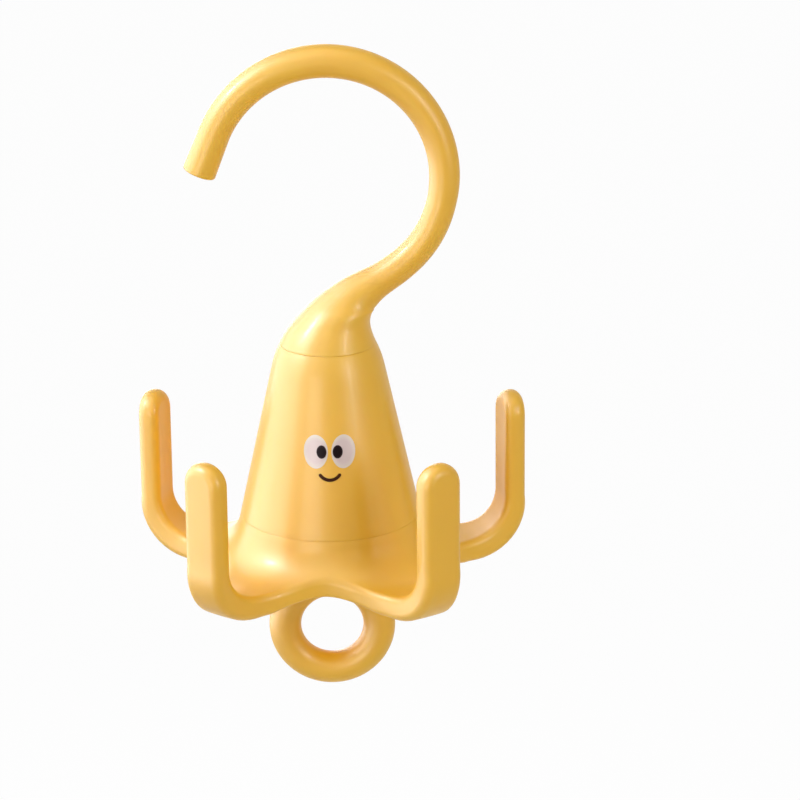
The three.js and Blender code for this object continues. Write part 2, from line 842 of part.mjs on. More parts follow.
function assembly() {
  const solids = {
    upper_hook: upperHook(),
    ...swivelStack(),
    cone_shell: coneShell(),
    arm_base: armBase(),
    bottom_ring: bottomRing(),
    ...screws(),
    ...face(),
  };
  const group = new THREE.Group();
  for (const [name, solid] of Object.entries(solids)) {
    const finish = finishes[slots[name] ?? 'steel'];
    const mesh = new THREE.Mesh(geometryOf(solid), new THREE.MeshStandardMaterial(finish));
    mesh.name = name;
    group.add(mesh);
  }
  return group;
}

export default assembly();
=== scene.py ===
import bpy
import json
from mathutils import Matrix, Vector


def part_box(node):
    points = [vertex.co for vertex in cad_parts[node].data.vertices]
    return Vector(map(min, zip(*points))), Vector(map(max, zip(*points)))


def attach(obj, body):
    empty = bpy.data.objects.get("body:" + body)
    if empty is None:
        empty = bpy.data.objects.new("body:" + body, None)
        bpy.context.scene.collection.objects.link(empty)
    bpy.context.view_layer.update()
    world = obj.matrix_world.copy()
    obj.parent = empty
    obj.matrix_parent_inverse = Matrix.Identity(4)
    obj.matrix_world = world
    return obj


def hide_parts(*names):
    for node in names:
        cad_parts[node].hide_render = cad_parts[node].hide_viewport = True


bl_info = {
    "name": "Rotating closet hook",
    "version": (1, 0, 0),
    "blender": (4, 5, 0),
    "location": "View3D > Sidebar > Closet hook",
    "description": "Dresses the packed closet hook with moulded plastic, a printed face and a studio",
    "category": "Object",
}

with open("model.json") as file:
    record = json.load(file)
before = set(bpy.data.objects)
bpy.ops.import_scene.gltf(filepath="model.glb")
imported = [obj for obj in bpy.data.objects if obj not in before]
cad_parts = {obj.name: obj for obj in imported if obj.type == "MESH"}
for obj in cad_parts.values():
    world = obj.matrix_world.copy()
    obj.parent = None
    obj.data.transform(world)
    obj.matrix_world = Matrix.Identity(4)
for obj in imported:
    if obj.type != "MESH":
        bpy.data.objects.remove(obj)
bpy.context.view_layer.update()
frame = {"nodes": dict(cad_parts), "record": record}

import json
import math
from types import SimpleNamespace

import bmesh
import bpy
from bpy.props import FloatProperty, FloatVectorProperty, IntProperty, PointerProperty
from mathutils import Matrix, Vector

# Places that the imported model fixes
SEAM_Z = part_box("upper_hook")[0].z
CONE_TOP_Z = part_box("cone_shell")[1].z
HUB_Z = -0.1175
ARM_TOP_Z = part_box("arm_base")[1].z
RING_LOW_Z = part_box("bottom_ring")[0].z
POST_FOOT_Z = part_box("cone_shell")[0].z


def property_of(kind, **options):
    """Makes properties of one kind, each from its own name, description and default."""
    def made(name, description, default):
        return kind(name=name, description=description, default=default, **options)

    return made


length = property_of(FloatProperty, min=0, precision=5, unit="LENGTH", subtype="DISTANCE")
level = property_of(FloatProperty, precision=5, unit="LENGTH")
angle = property_of(FloatProperty, unit="ROTATION", subtype="ANGLE")
colour = property_of(FloatVectorProperty, size=3, min=0, max=1, subtype="COLOR")
factor = property_of(FloatProperty, min=0, max=1, subtype="FACTOR")
watts = property_of(FloatProperty, min=0, unit="POWER")
count = property_of(IntProperty, min=3)


class HookSizes(bpy.types.PropertyGroup):
    bend_radius: length("Bend radius", "Radius of the crown's centre line", 0.02725)
    tip_radius: length("Tip radius", "Bar radius at the open tip", 0.0037)
    crown_radius: length("Crown radius", "Bar radius at the top of the crown", 0.00383)
    side_radius: length("Side radius", "Bar radius on the closed side", 0.00353)
    lower_radius: length("Lower radius", "Bar radius where the limb turns under", 0.00346)
    tip_length: length("Tip length", "Straight length before the crown", 0.0095)
    tip_rounding: length("Tip rounding", "Radius of the tip's rounded edge", 0.0005)
    tip_flare: length("Tip flare", "How much the bar widens to its cut end", 0.0002)
    tip_angle: angle("Tip angle", "Where the crown starts, from the closed side", math.radians(158))
    limb_angle: angle("Limb angle", "Where the crown ends", math.radians(-14))
    limb_handle: length("Limb handle", "Reach of the limb's curve below the crown", 0.0215)
    neck_handle: length("Neck handle", "Reach of the limb's curve above the seam", 0.0151)
    cap_radius: length("Cap radius", "Radius of the flared cap at the seam", 0.0111)
    rim_rounding: length("Rim rounding", "Radius of the cap's lower edge", 0.00015)
    core_radius: length("Core radius", "Radius of the hollow in the cap", 0.0078)
    core_depth: length("Core depth", "Depth of the hollow in the cap", 0.0022)
    boss_radius: length("Boss radius", "Radius of the boss round the insert", 0.0052)
    boss_recess: length("Boss recess", "How far the boss stays above the cap's edge", 0.0011)
    socket_radius: length("Socket radius", "Radius of the insert's socket", 0.0035)
    socket_depth: length("Socket depth", "Depth of that socket from the cap's edge", 0.0074)
    tail_radius: length("Tail radius", "Radius of the room for the screw's end", 0.0022)
    tail_depth: length("Tail depth", "Depth of that room from the cap's edge", 0.009)
    sides: count("Sides", "Facets round the bar", 72)


class ConeSizes(bpy.types.PropertyGroup):
    shoulder_z: level("Shoulder height", "Height where the straight side starts", -0.0689)
    shoulder_radius: length("Shoulder radius", "Radius where the straight side starts", 0.0132)
    shoulder_pull: length("Shoulder pull", "How far the straight side leads the shoulder's curve", 0.0034)
    foot_z: level("Foot height", "Height of the seam with the skirt", -0.1045)
    foot_radius: length("Foot radius", "Radius at the seam with the skirt", 0.02105)
    wall: length("Wall", "Wall thickness", 0.0022)
    deck: length("Deck", "Thickness of the closed top", 0.003)
    lip_gap: length("Lip gap", "Gap that shows between the cap and the cone", 0.00002)
    seam_gap: length("Seam gap", "Gap that shows between the cone and the skirt", 0.000005)
    edge: length("Edge", "Radius of the moulded edges", 0.00012)
    deck_hole: length("Deck hole", "Radius of the hole for the bush", 0.0045)
    lip_inner: length("Lip radius", "Inner radius of the raised lip under the cap", 0.0088)
    posts: count("Posts", "How many screw posts stand in the cone", 3)
    bore_radius: length("Bore radius", "Radius of a post's screw hole", 0.0017)
    bore_depth: length("Bore depth", "Depth of that hole", 0.01)
    post_radius: length("Post radius", "Radius of a screw post", 0.003)
    post_circle: length("Post circle", "Distance of the posts from the axis", 0.012075)
    post_top_z: level("Post top", "Height of the posts' closed ends", -0.0845)
    sides: count("Sides", "Facets round the cone", 192)


class SkirtSizes(bpy.types.PropertyGroup):
    arms: count("Arms", "How many arms the skirt has", 5)
    turn: angle("Turn", "How far the arms are turned from the face", math.radians(3))
    arm_width: length("Arm width", "Width across an arm", 0.0103)
    arm_thickness: length("Arm thickness", "Thickness of an arm", 0.00505)
    arm_reach: length("Arm reach", "Distance of an arm's outer face from the axis", 0.04715)
    arm_edge: length("Arm edge", "Radius of an arm's edges", 0.002)
    tip_edge: length("Tip edge", "Radius of the edges at an arm's tip", 0.0024)
    skirt_edge: length("Skirt edge", "Radius of the skirt's edge between two arms", 0.0012)
    skirt_thickness: length("Skirt thickness", "Height of the skirt's wall at the cone", 0.0038)
    keel_thickness: length("Keel thickness", "Thickness at the channel's lowest line", 0.0054)
    elbow_thickness: length("Elbow thickness", "Thickness at an arm's elbow", 0.006)
    channel_radius: length("Channel radius", "Radius of the channel on the cone's side", 0.0102)
    elbow_radius: length("Elbow radius", "Radius of the channel on the arm's side", 0.009)
    arch_reach: length("Arch reach", "Distance of the skirt's edge from the axis between arms", 0.0255)
    arch_run: length("Arch run", "Length along the sheet from the arch's top to the arm's side", 0.0185)
    flare_drop: length("Flare drop", "Straight run between the seam and the channel", 0.0016)
    floor_z: level("Floor", "Height of the floor inside the cone", -0.1069)
    floor_thickness: length("Floor thickness", "Thickness of the floor", 0.0024)
    spigot_height: length("Spigot height", "Height of the rim that locates the cone", 0.004)
    spigot_wall: length("Spigot wall", "Wall of that rim", 0.0016)
    fit: length("Fit", "Gap round the spigot", 0.0003)
    hub_radius: length("Hub radius", "Radius of the hub that takes the ring's stem", 0.0072)
    hub_edge: length("Hub edge", "Radius of the hub's lower edge", 0.0006)
    columns: count("Columns", "Facets across one arm's share of the skirt", 32)


class RingSizes(bpy.types.PropertyGroup):
    radius: length("Ring radius", "Radius of the ring's centre line", 0.0112)
    bar_radius: length("Bar radius", "Radius of the ring's bar", 0.0038)
    stem_half: length("Stem half width", "Half the width of the square stem", 0.0036)
    stem_corner: length("Stem corner", "Radius of the stem's corners", 0.0009)
    stem_engagement: length("Stem engagement", "How far the stem reaches into the hub", 0.0064)
    collar_radius: length("Collar radius", "Radius of the collar under the hub", 0.0052)
    collar_height: length("Collar height", "Height of that collar", 0.0017)
    collar_gap: length("Collar gap", "Gap between the collar and the hub", 0.0003)
    collar_edge: length("Collar edge", "Radius of the collar's edges", 0.0004)
    sides: count("Sides", "Facets round the ring", 128)


class FaceSizes(bpy.types.PropertyGroup):
    eye_z: level("Eye level", "Height of the eyes' middle", -0.0841)
    eye_width: length("Eye width", "Width of an eye", 0.0056)
    eye_height: length("Eye height", "Height of an eye", 0.0076)
    eye_spacing: length("Eye spacing", "Distance between the eyes' middles", 0.0064)
    pupil_width: length("Pupil width", "Width of a pupil", 0.0023)
    pupil_height: length("Pupil height", "Height of a pupil", 0.003)
    pupil_spacing: length("Pupil spacing", "Distance between the pupils' middles", 0.0037)
    smile_z: level("Smile level", "Height of the smile's ends", -0.0894)
    smile_width: length("Smile width", "Width of the smile", 0.0044)
    smile_sag: length("Smile sag", "How far the smile dips", 0.0011)
    smile_stroke: length("Smile stroke", "Thickness of the smile's line", 0.00075)
    ink: length("Ink", "Thickness of one printed layer", 0.00006)
    gap: length("Gap", "Gap under each printed layer", 0.00002)


class Finishes(bpy.types.PropertyGroup):
    yellow: colour("Yellow", "Yellow of the moulded plastic", (0.9, 0.49, 0.008))
    deep_yellow: colour("Deep yellow", "Deeper yellow of the flow marks", (0.89, 0.465, 0.006))
    eye: colour("Eye", "Pinkish white of the eyes", (0.72, 0.58, 0.56))
    eye_rim: colour("Eye rim", "Lighter rim of the eyes", (0.8, 0.7, 0.62))
    pupil: colour("Pupil", "Near black of the pupils", (0.01, 0.004, 0.005))
    smile: colour("Smile", "Dark brown of the smile", (0.05, 0.014, 0.003))
    brass: colour("Brass", "Colour of the threaded insert", (0.6, 0.4, 0.14))
    steel: colour("Steel", "Colour of the screws and washers", (0.56, 0.57, 0.58))
    nylon: colour("Nylon", "Colour of the bush and thrust washer", (0.82, 0.8, 0.72))
    satin: factor("Satin", "Roughness of the moulded plastic", 0.47)
    shine: factor("Shine", "Weight of the smooth skin over the satin", 0.16)


class StageSettings(bpy.types.PropertyGroup):
    drop: length("Floor drop", "How far under the rod seat the floor lies", 0.6)
    high: watts("High", "Power of the softbox high on the left", 4.3)
    front: watts("Front", "Power of the softbox over the camera", 1.3)
    right: watts("Right", "Power of the softbox on the right", 2.8)
    back: watts("Back", "Power of the softbox behind the object", 3.2)
    low: watts("Low", "Power of the softbox low on the left", 2.8)
    wall: watts("Wall", "Power of the white wall that only the gloss shows, on the left", 42)
    roof: watts("Roof", "Power of the panel that only the gloss shows, overhead", 5)
    panel: watts("Panel", "Power of the panel that only the gloss shows, beside the camera", 4.6)
    spot: watts("Spot", "Power of the small lamp that only the gloss shows, high on the left", 4.5)
    strip: watts("Strip", "Power of the narrow lamp that only the gloss shows, on the right", 1.2)
    sky: factor("Sky", "Strength of the even light from all round", 0.3)


def settings(part):
    """The property group of a part, a set of finishes or the stage."""
    return getattr(bpy.context.scene, f"closet_hook_{part}")


# Meshes

MERGE_DISTANCE = 1e-7
SHARP_ANGLE = math.radians(32)
ROUNDING_STEPS = 4

# A rounded corner takes at most this part of the line on either side
MOST_ROUNDED = 1 / 2.2


def new_object(name, data):
    made = bpy.data.objects.new(name, data)
    bpy.context.scene.collection.objects.link(made)
    return made


def mesh_object(skin, name, material):
    mesh = bpy.data.meshes.new(name)
    skin.to_mesh(mesh)
    skin.free()
    mesh.materials.append(material)
    return new_object(name, mesh)


def add_piece(skin, name, body, slot, *nodes):
    """Turns a bmesh into a smooth piece that rides on a body and stands for its nodes."""
    bmesh.ops.remove_doubles(skin, verts=skin.verts, dist=MERGE_DISTANCE)
    bmesh.ops.dissolve_degenerate(skin, edges=skin.edges, dist=MERGE_DISTANCE)
    bmesh.ops.recalc_face_normals(skin, faces=skin.faces)
    for face in skin.faces:
        face.smooth = True
    for edge in skin.edges:
        if len(edge.link_faces) == 2 and edge.calc_face_angle() > SHARP_ANGLE:
            edge.smooth = False
    piece = mesh_object(skin, name, material_of(slot))
    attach(piece, body)
    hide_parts(*nodes)


def add_rows(skin, rows, closed):
    """Joins rows of points with quads, each row closed on itself or open."""
    grid = [[skin.verts.new(point) for point in row] for row in rows]
    for low, high in zip(grid, grid[1:]):
        last = len(low) if closed else len(low) - 1
        for i in range(last):
            j = (i + 1) % len(low)
            skin.faces.new((low[i], low[j], high[j], high[i]))
    return grid


def close_ends(skin, grid):
    skin.faces.new(grid[0])
    skin.faces.new(grid[-1])


def turns(number):
    """Angles spread evenly over a full turn."""
    return [2 * math.pi * i / number for i in range(number)]


def circle(radius, z, sides, centre=(0, 0)):
    return [(centre[0] + radius * math.cos(turn), centre[1] + radius * math.sin(turn), z)
            for turn in turns(sides)]


def add_turned(skin, profile, sides, centre=(0, 0)):
    """Turns a line of (radius, height) points about a vertical axis."""
    return add_rows(skin, [circle(radius, z, sides, centre) for radius, z in profile], True)


def curve_point(start, corner, end, t):
    """A point of the curve that leaves start and reaches end along lines through the corner."""
    return start * (1 - t) ** 2 + corner * 2 * t * (1 - t) + end * t ** 2


def closed_skin(rows):
    """A tube through rows of points, with its first and last row filled."""
    skin = bmesh.new()
    close_ends(skin, add_rows(skin, rows, True))
    return skin


def rounded(profile, radius):
    """Rounds every inner corner of a line of (radius, height) points."""
    out = [profile[0]]
    for before, here, after in zip(profile, profile[1:], profile[2:]):
        a, b, c = Vector(before), Vector(here), Vector(after)
        pull = min(radius, (a - b).length * MOST_ROUNDED, (c - b).length * MOST_ROUNDED)
        start = b + (a - b).normalized() * pull
        end = b + (c - b).normalized() * pull
        for i in range(ROUNDING_STEPS + 1):
            out.append(tuple(curve_point(start, b, end, i / ROUNDING_STEPS)))
    return out + [profile[-1]]


def mix(a, b, share):
    return a + (b - a) * share


def eased(value, low, high):
    """0 to 1 as a value goes from low to high, with a soft start and end."""
    t = min(1, max(0, (value - low) / (high - low)))
    return t * t * (3 - 2 * t)


# Hook bar and cap

TIP_STEPS = 8
CROWN_STEPS = 120
LIMB_STEPS = 72

# How far the bar has widened into the cap, at shares of the limb's run
NECK_SHARES = [(0, 0), (0.35, 0.03), (0.5, 0.07), (0.65, 0.27), (0.76, 0.54), (0.88, 0.73), (1, 1)]

# The shares of the limb's run between which its sections turn level
LEVEL_SHARES = (0.47, 0.83)


def neck_share(place):
    """How far the bar has widened at a share of the limb's run, on a smooth line through the marks."""
    marks = NECK_SHARES
    i = max(1, next(k for k, (at, _) in enumerate(marks) if at >= place))

    def slope(k):
        low, high = marks[max(0, k - 1)], marks[min(len(marks) - 1, k + 1)]
        return (high[1] - low[1]) / (high[0] - low[0])

    (x0, y0), (x1, y1) = marks[i - 1], marks[i]
    run = x1 - x0
    t = (place - x0) / run
    bend0, bend1 = slope(i - 1) * run, slope(i) * run
    return (y0 + bend0 * t + (3 * (y1 - y0) - 2 * bend0 - bend1) * t ** 2
            + (bend0 + bend1 - 2 * (y1 - y0)) * t ** 3)


def radius_round_crown(turn):
    """The bar's radius at an angle round the crown."""
    s = settings("bar")
    quarter = math.pi / 2
    return (s.tip_radius
            + (s.crown_radius - s.tip_radius) * eased(s.tip_angle - turn, 0, s.tip_angle - quarter)
            + (s.side_radius - s.crown_radius) * eased(quarter - turn, 0, quarter)
            + (s.lower_radius - s.side_radius) * eased(-turn, 0, -s.limb_angle))


def hook_stations():
    """The bar's centre, direction and radius at each station, from tip to cap."""
    s = settings("bar")
    crown = Vector((0, s.crown_radius - s.bend_radius))

    def along(turn):
        return Vector((math.cos(turn), math.sin(turn)))

    def ahead(turn):
        return Vector((math.sin(turn), -math.cos(turn)))

    stations = []
    tip_way = ahead(s.tip_angle)
    tip_end = crown + along(s.tip_angle) * s.bend_radius - tip_way * s.tip_length
    for i in range(TIP_STEPS + 1):
        turn = math.pi / 2 * i / TIP_STEPS
        place = tip_end + tip_way * s.tip_rounding * (1 - math.cos(turn))
        radius = s.tip_radius + s.tip_flare - s.tip_rounding * (1 - math.sin(turn))
        stations.append((place, tip_way, radius))
    for i in range(CROWN_STEPS + 1):
        turn = mix(s.tip_angle, s.limb_angle, i / CROWN_STEPS)
        stations.append((crown + along(turn) * s.bend_radius, ahead(turn), radius_round_crown(turn)))
    p0 = crown + along(s.limb_angle) * s.bend_radius
    p1 = p0 + ahead(s.limb_angle) * s.limb_handle
    p2 = Vector((0, SEAM_Z + s.neck_handle))
    p3 = Vector((0, SEAM_Z))
    for i in range(1, LIMB_STEPS + 1):
        t = i / LIMB_STEPS
        place = p0 * (1 - t) ** 3 + p1 * 3 * t * (1 - t) ** 2 + p2 * 3 * t * t * (1 - t) + p3 * t ** 3
        way = curve_point(p1 - p0, p2 - p1, p3 - p2, t)
        lean = math.atan2(way.x, -way.y) * (1 - eased(t, *LEVEL_SHARES))
        radius = s.lower_radius + (s.cap_radius - s.lower_radius) * neck_share(t)
        stations.append((place, Vector((math.sin(lean), -math.cos(lean))), radius))
    return stations


def hook_mesh():
    s = settings("bar")
    rows = []
    for place, ahead, radius in hook_stations()[:-1]:
        row = []
        for turn in turns(s.sides):
            out = radius * math.cos(turn)
            row.append((place.x - ahead.y * out, radius * math.sin(turn), place.y + ahead.x * out))
        rows.append(row)
    rim = [(s.cap_radius, SEAM_Z + s.rim_rounding), (s.cap_radius, SEAM_Z), (s.core_radius, SEAM_Z)]
    hollow = [(s.core_radius, s.core_depth), (s.boss_radius, s.core_depth),
              (s.boss_radius, s.boss_recess), (s.socket_radius, s.boss_recess),
              (s.socket_radius, s.socket_depth), (s.tail_radius, s.socket_depth),
              (s.tail_radius, s.tail_depth)]
    under = rounded(rim, s.rim_rounding) + [(radius, SEAM_Z + depth) for radius, depth in hollow]
    return closed_skin(rows + [circle(radius, z, s.sides) for radius, z in under])


# Cone

SIDE_STEPS = 24
SHOULDER_STEPS = 24
POST_SIDES = 32
POINT_RADIUS = 0.0001
FIRST_POST_TURN = math.radians(60)


def cone_slope():
    """How much the straight side's radius grows for each step down."""
    s = settings("cone")
    return (s.foot_radius - s.shoulder_radius) / (s.shoulder_z - s.foot_z)


def cone_radius(z):
    s = settings("cone")
    return s.shoulder_radius + (s.shoulder_z - z) * cone_slope()


def cone_mesh():
    s = settings("cone")
    slope = cone_slope()
    foot = s.foot_z + s.seam_gap
    top = SEAM_Z - s.lip_gap
    cap = settings("bar").cap_radius
    p0 = Vector((s.shoulder_radius, s.shoulder_z))
    p1 = Vector((s.shoulder_radius - s.shoulder_pull * slope, s.shoulder_z + s.shoulder_pull))
    p2 = Vector((cap, top))
    shoulder = [tuple(curve_point(p0, p1, p2, i / SHOULDER_STEPS)) for i in range(SHOULDER_STEPS + 1)]
    deck_low = CONE_TOP_Z - s.deck
    inside = [(s.deck_hole, deck_low), (cap - s.wall, deck_low),
              (s.shoulder_radius - s.wall, s.shoulder_z - s.wall), (s.foot_radius - s.wall, foot)]
    side = []
    for i in range(SIDE_STEPS):
        share = i / SIDE_STEPS
        side.append((mix(s.foot_radius, s.shoulder_radius, share), mix(foot, s.shoulder_z, share)))
    lip = rounded([shoulder[-2], shoulder[-1], (s.lip_inner, top), (s.lip_inner, CONE_TOP_Z),
                   (s.deck_hole, CONE_TOP_Z)], s.edge)
    foot_edge = rounded([inside[-1], (s.foot_radius, foot), side[1]], s.edge)
    profile = foot_edge[:-1] + side[1:] + shoulder[:-2] + lip + inside
    skin = bmesh.new()
    add_turned(skin, profile, s.sides)
    bore_top = POST_FOOT_Z + s.bore_depth
    post = [(POINT_RADIUS, s.post_top_z), (s.post_radius, s.post_top_z), (s.post_radius, POST_FOOT_Z),
            (s.bore_radius, POST_FOOT_Z), (s.bore_radius, bore_top), (POINT_RADIUS, bore_top)]
    for turn in turns(s.posts):
        turn += FIRST_POST_TURN
        centre = (s.post_circle * math.sin(turn), -s.post_circle * math.cos(turn))
        close_ends(skin, add_turned(skin, post, POST_SIDES, centre))
    return skin


# Skirt and arms

ARCH_STEPS = 28
ELBOW_STEPS = 14
ARM_STEPS = 7
ARM_TIP_STEPS = 18
EDGE_STEPS = 7
INNER_STEPS = 16


def channel():
    """The channel's section: an arc from the cone's side, a short flat and a tighter arc into the arm."""
    s = settings("skirt")
    c = settings("cone")
    lean = math.atan(cone_slope())
    radius = s.channel_radius
    middle = c.foot_radius + s.flare_drop * cone_slope() + radius * math.cos(lean)
    base = c.foot_z - s.flare_drop + radius * math.sin(lean)
    bend = s.arm_reach - s.arm_thickness - s.elbow_radius
    flat_run = radius * math.pi / 2
    bend_run = flat_run + bend - middle
    return SimpleNamespace(radius=radius, middle=middle, base=base, bend=bend,
                           flat_run=flat_run, bend_run=bend_run,
                           arm_run=bend_run + s.elbow_radius * math.pi / 2,
                           arm_foot_z=base - radius + s.elbow_radius)


def underside_z(r):
    """Height of the underside, from the seam to the channel's lowest line, at a distance from the axis."""
    s = settings("skirt")
    c = channel()
    foot_radius = settings("cone").foot_radius
    span = max(0, (r - foot_radius) / (c.middle - foot_radius))
    thickness = s.skirt_thickness + (s.keel_thickness - s.skirt_thickness) * span ** 2
    return c.base - math.sqrt((c.radius + thickness) ** 2 - (c.middle - r) ** 2)


def sheet_at(run):
    """A point on the sheet's upper surface, the way to its underside and the thickness that way."""
    s = settings("skirt")
    c = channel()
    if run <= c.flat_run:
        r = c.middle - c.radius * math.cos(run / c.radius)
        z = c.base - c.radius * math.sin(run / c.radius)
        return r, z, 0, -1, z - underside_z(r)
    if run <= c.bend_run:
        return c.middle + run - c.flat_run, c.base - c.radius, 0, -1, s.keel_thickness
    if run >= c.arm_run:
        return c.bend + s.elbow_radius, c.arm_foot_z + run - c.arm_run, 1, 0, s.arm_thickness
    turn = (run - c.bend_run) / s.elbow_radius
    share = 2 * turn / math.pi
    straight = mix(s.keel_thickness, s.arm_thickness, share)
    waist = s.elbow_thickness - (s.keel_thickness + s.arm_thickness) / 2
    dr, dz = math.sin(turn), -math.cos(turn)
    return (c.bend + s.elbow_radius * dr, c.arm_foot_z + s.elbow_radius * dz, dr, dz,
            straight + waist * math.sin(math.pi * share))


def arm_outline():
    """Runs along the sheet and half widths across it, with the way inward and the edge radius."""
    s = settings("skirt")
    c = channel()
    half = s.arm_width / 2
    arch_start = c.radius * math.acos((c.middle - s.arch_reach) / c.radius)
    arch_half = s.arch_reach * math.pi / s.arms
    tip_start = c.arm_run + ARM_TOP_Z - c.arm_foot_z - half
    outline = []
    for i in range(ARCH_STEPS + 1):
        turn = math.pi / 2 * (1 - i / ARCH_STEPS)
        inward = Vector(((arch_half - half) * math.sin(turn), s.arch_run * math.cos(turn)))
        outline.append((arch_start + s.arch_run * (1 - math.sin(turn)),
                        arch_half - (arch_half - half) * math.cos(turn),
                        -inward.normalized(), mix(s.skirt_edge, s.arm_edge, i / ARCH_STEPS)))
    runs = [mix(arch_start + s.arch_run, c.arm_run, i / ELBOW_STEPS) for i in range(1, ELBOW_STEPS + 1)]
    runs += [mix(c.arm_run, tip_start, i / ARM_STEPS) for i in range(1, ARM_STEPS)]
    outline += [(run, half, Vector((0, -1)), s.arm_edge) for run in runs]
    for i in range(ARM_TIP_STEPS + 1):
        turn = math.pi / 2 * i / ARM_TIP_STEPS
        outline.append((tip_start + half * math.sin(turn), half * math.cos(turn),
                        Vector((-math.sin(turn), -math.cos(turn))),
                        mix(s.arm_edge, s.tip_edge, i / ARM_TIP_STEPS)))
    return outline


def sheet_row(stop, at_arch, under):
    """One row of (radius, height, angle) points across the sheet, rounded edges first and last."""
    run, across, inward, edge = stop
    s = settings("skirt")
    half = math.pi / s.arms

    def place(run_here, across_here, depth, share):
        r, z, dr, dz, thickness = sheet_at(run_here)
        down = thickness - depth if under else depth
        radius = r + dr * down
        turn = half * share if at_arch else across_here / radius
        return radius, z + dz * down, turn

    edges = []
    for i in range(EDGE_STEPS + 1):
        turn = math.pi / 2 * i / EDGE_STEPS
        inset, depth = edge * (1 - math.cos(turn)), edge * (1 - math.sin(turn))
        edges.append((run + inward.x * inset, across + inward.y * inset, depth))
    inner_run, inner_across, _ = edges[-1]
    row = [place(u, -v, d, -1) for u, v, d in edges[:-1]]
    for k in range(s.columns + 1):
        share = 2 * k / s.columns - 1
        row.append(place(inner_run, inner_across * share, 0, share))
    return row + [place(u, v, d, 1) for u, v, d in reversed(edges[:-1])]


def inner_lines():
    """The skirt's full-turn surfaces inside the arches, from the axis outward."""
    s = settings("skirt")
    c = settings("cone")
    curve = channel()
    radius, base, middle = curve.radius, curve.base, curve.middle
    slope = cone_slope()
    spigot = c.foot_radius - c.wall - s.fit
    inside = spigot - s.spigot_wall
    top = c.foot_z + s.spigot_height
    taper = s.spigot_height * slope
    arch_start = math.acos((middle - s.arch_reach) / radius) - s.skirt_edge / radius
    upper = [(0, s.floor_z), (inside, s.floor_z), (inside, c.foot_z),
             (inside - taper, top), (spigot - taper, top), (spigot, c.foot_z)]
    ledge = [(spigot, c.foot_z), (c.foot_radius, c.foot_z),
             (c.foot_radius + s.flare_drop * slope, c.foot_z - s.flare_drop)]
    upper += rounded(ledge, c.edge)[1:-1]
    lean = math.atan(slope)
    for i in range(INNER_STEPS):
        turn = mix(lean, arch_start, i / INNER_STEPS)
        upper.append((middle - radius * math.cos(turn), base - radius * math.sin(turn)))
    floor_low = s.floor_z - s.floor_thickness
    reach = radius + s.skirt_thickness
    wall = middle - math.sqrt(reach ** 2 - (base - floor_low) ** 2)
    edge_r = middle - radius * math.cos(arch_start)
    hub = [(0, HUB_Z), (s.hub_radius, HUB_Z), (s.hub_radius, floor_low), (wall, floor_low)]
    lower = rounded(hub, s.hub_edge)[:-1]
    for i in range(INNER_STEPS):
        r = mix(wall, edge_r, i / INNER_STEPS)
        lower.append((r, underside_z(r)))
    return upper, lower


def skirt_mesh():
    s = settings("skirt")
    upper, lower = inner_lines()
    outline = arm_outline()
    sector = 2 * math.pi / s.arms
    skin = bmesh.new()
    for arm in range(s.arms):
        axis = -math.pi / 2 - s.turn + sector * (arm + 0.5)

        def point(radius, z, turn):
            return radius * math.cos(axis + turn), radius * math.sin(axis + turn), z

        sides = []
        for under, lines in ((False, upper), (True, lower)):
            outer = [[point(*p) for p in sheet_row(stop, i == 0, under)] for i, stop in enumerate(outline)]
            bridge = outer[0][EDGE_STEPS:EDGE_STEPS + s.columns + 1]
            across = [sector * (k / s.columns - 0.5) for k in range(s.columns + 1)]
            inner = [[point(r, z, turn) for turn in across] for r, z in lines]
            add_rows(skin, inner + [bridge], False)
            add_rows(skin, outer, False)
            sides.append(([row[0] for row in outer], [row[-1] for row in outer]))
        add_rows(skin, [sides[0][0], sides[1][0]], False)
        add_rows(skin, [sides[0][1], sides[1][1]], False)
    return skin


# Ring

ROLL_SIDES = 48
COLLAR_SIDES = 64
BLEND_STEPS = 10
CORNER_STEPS = 6


def ring_mesh():
    s = settings("ring")
    centre_z = RING_LOW_Z + s.radius + s.bar_radius
    skin = bmesh.new()
    rows = []
    for i in range(s.sides + 1):
        turn = 2 * math.pi * i / s.sides
        row = []
        for roll in turns(ROLL_SIDES):
            out = s.radius + s.bar_radius * math.cos(roll)
            row.append((out * math.cos(turn), s.bar_radius * math.sin(roll),
                        centre_z + out * math.sin(turn)))
        rows.append(row)
    add_rows(skin, rows, True)
    top = HUB_Z - s.collar_gap
    low = top - s.collar_height
    root = centre_z + s.radius
    flat = s.stem_half - s.stem_corner
    blend = []
    for i in range(BLEND_STEPS):
        share = i / BLEND_STEPS
        blend.append((mix(flat, s.collar_radius, share ** 2), mix(root, low, share)))
    collar = blend + [(s.collar_radius, low), (s.collar_radius, top), (s.stem_half, top)]
    add_turned(skin, rounded(collar, s.collar_edge), COLLAR_SIDES)
    reach = flat * math.sqrt(2)
    square = []
    for i in range(4):
        corner = math.pi / 2 * i + math.pi / 4
        for k in range(CORNER_STEPS + 1):
            turn = math.pi / 2 * (i + k / CORNER_STEPS)
            square.append((reach * math.cos(corner) + s.stem_corner * math.cos(turn),
                           reach * math.sin(corner) + s.stem_corner * math.sin(turn)))
    stem_top = HUB_Z + s.stem_engagement
    grid = add_rows(skin, [[(x, y, z) for x, y in square] for z in (low, stem_top)], True)
    skin.faces.new(grid[-1])
    return skin


# Printed face

OVAL_RINGS = 32
OVAL_SIDES = 72
SMILE_STEPS = 24
SMILE_END_SHARE = 1 / 50


def on_cone(across, z, lift):
    """A point on the cone's front, at a distance round it from the middle and a lift off it."""
    radius = cone_radius(z) + lift
    turn = across / cone_radius(z) - math.pi / 2
    return radius * math.cos(turn), radius * math.sin(turn), z


